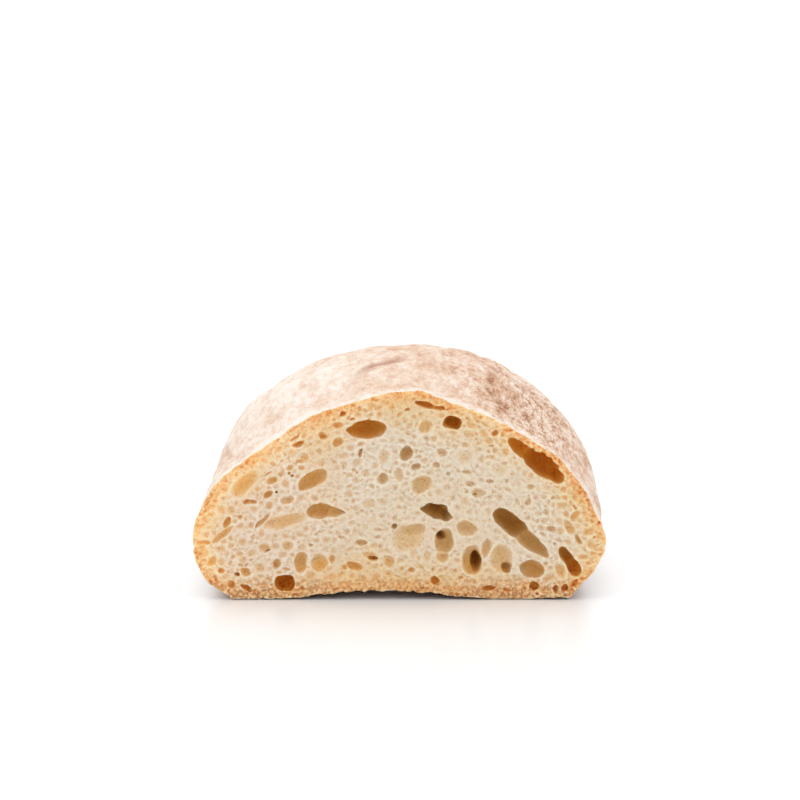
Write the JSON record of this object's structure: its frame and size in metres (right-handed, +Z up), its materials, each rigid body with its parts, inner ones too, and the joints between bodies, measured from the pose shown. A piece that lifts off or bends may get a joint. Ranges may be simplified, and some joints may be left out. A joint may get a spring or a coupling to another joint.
{
  "type": "half ciabatta loaf",
  "caption": "Half of a ciabatta loaf, cut straight across: flour-dusted crust around an open cream crumb, flat underneath. Food, served or shown on a table or board.",
  "frame": {"origin": "centre of the bounding box at its lowest plane, the surface that the loaf rests on", "axes": "+Z up, +Y along the loaf from the cut face towards the rounded end, +X across it, to the right for someone who looks at the cut face"},
  "size_m": [0.1209, 0.14, 0.067],
  "materials": {
    "baked_bread": "matte floured crust, open cream crumb with amber pore walls"
  },
  "bodies": {
    "root": {"ciabatta_half": "baked_bread"}
  },
  "joints": []
}
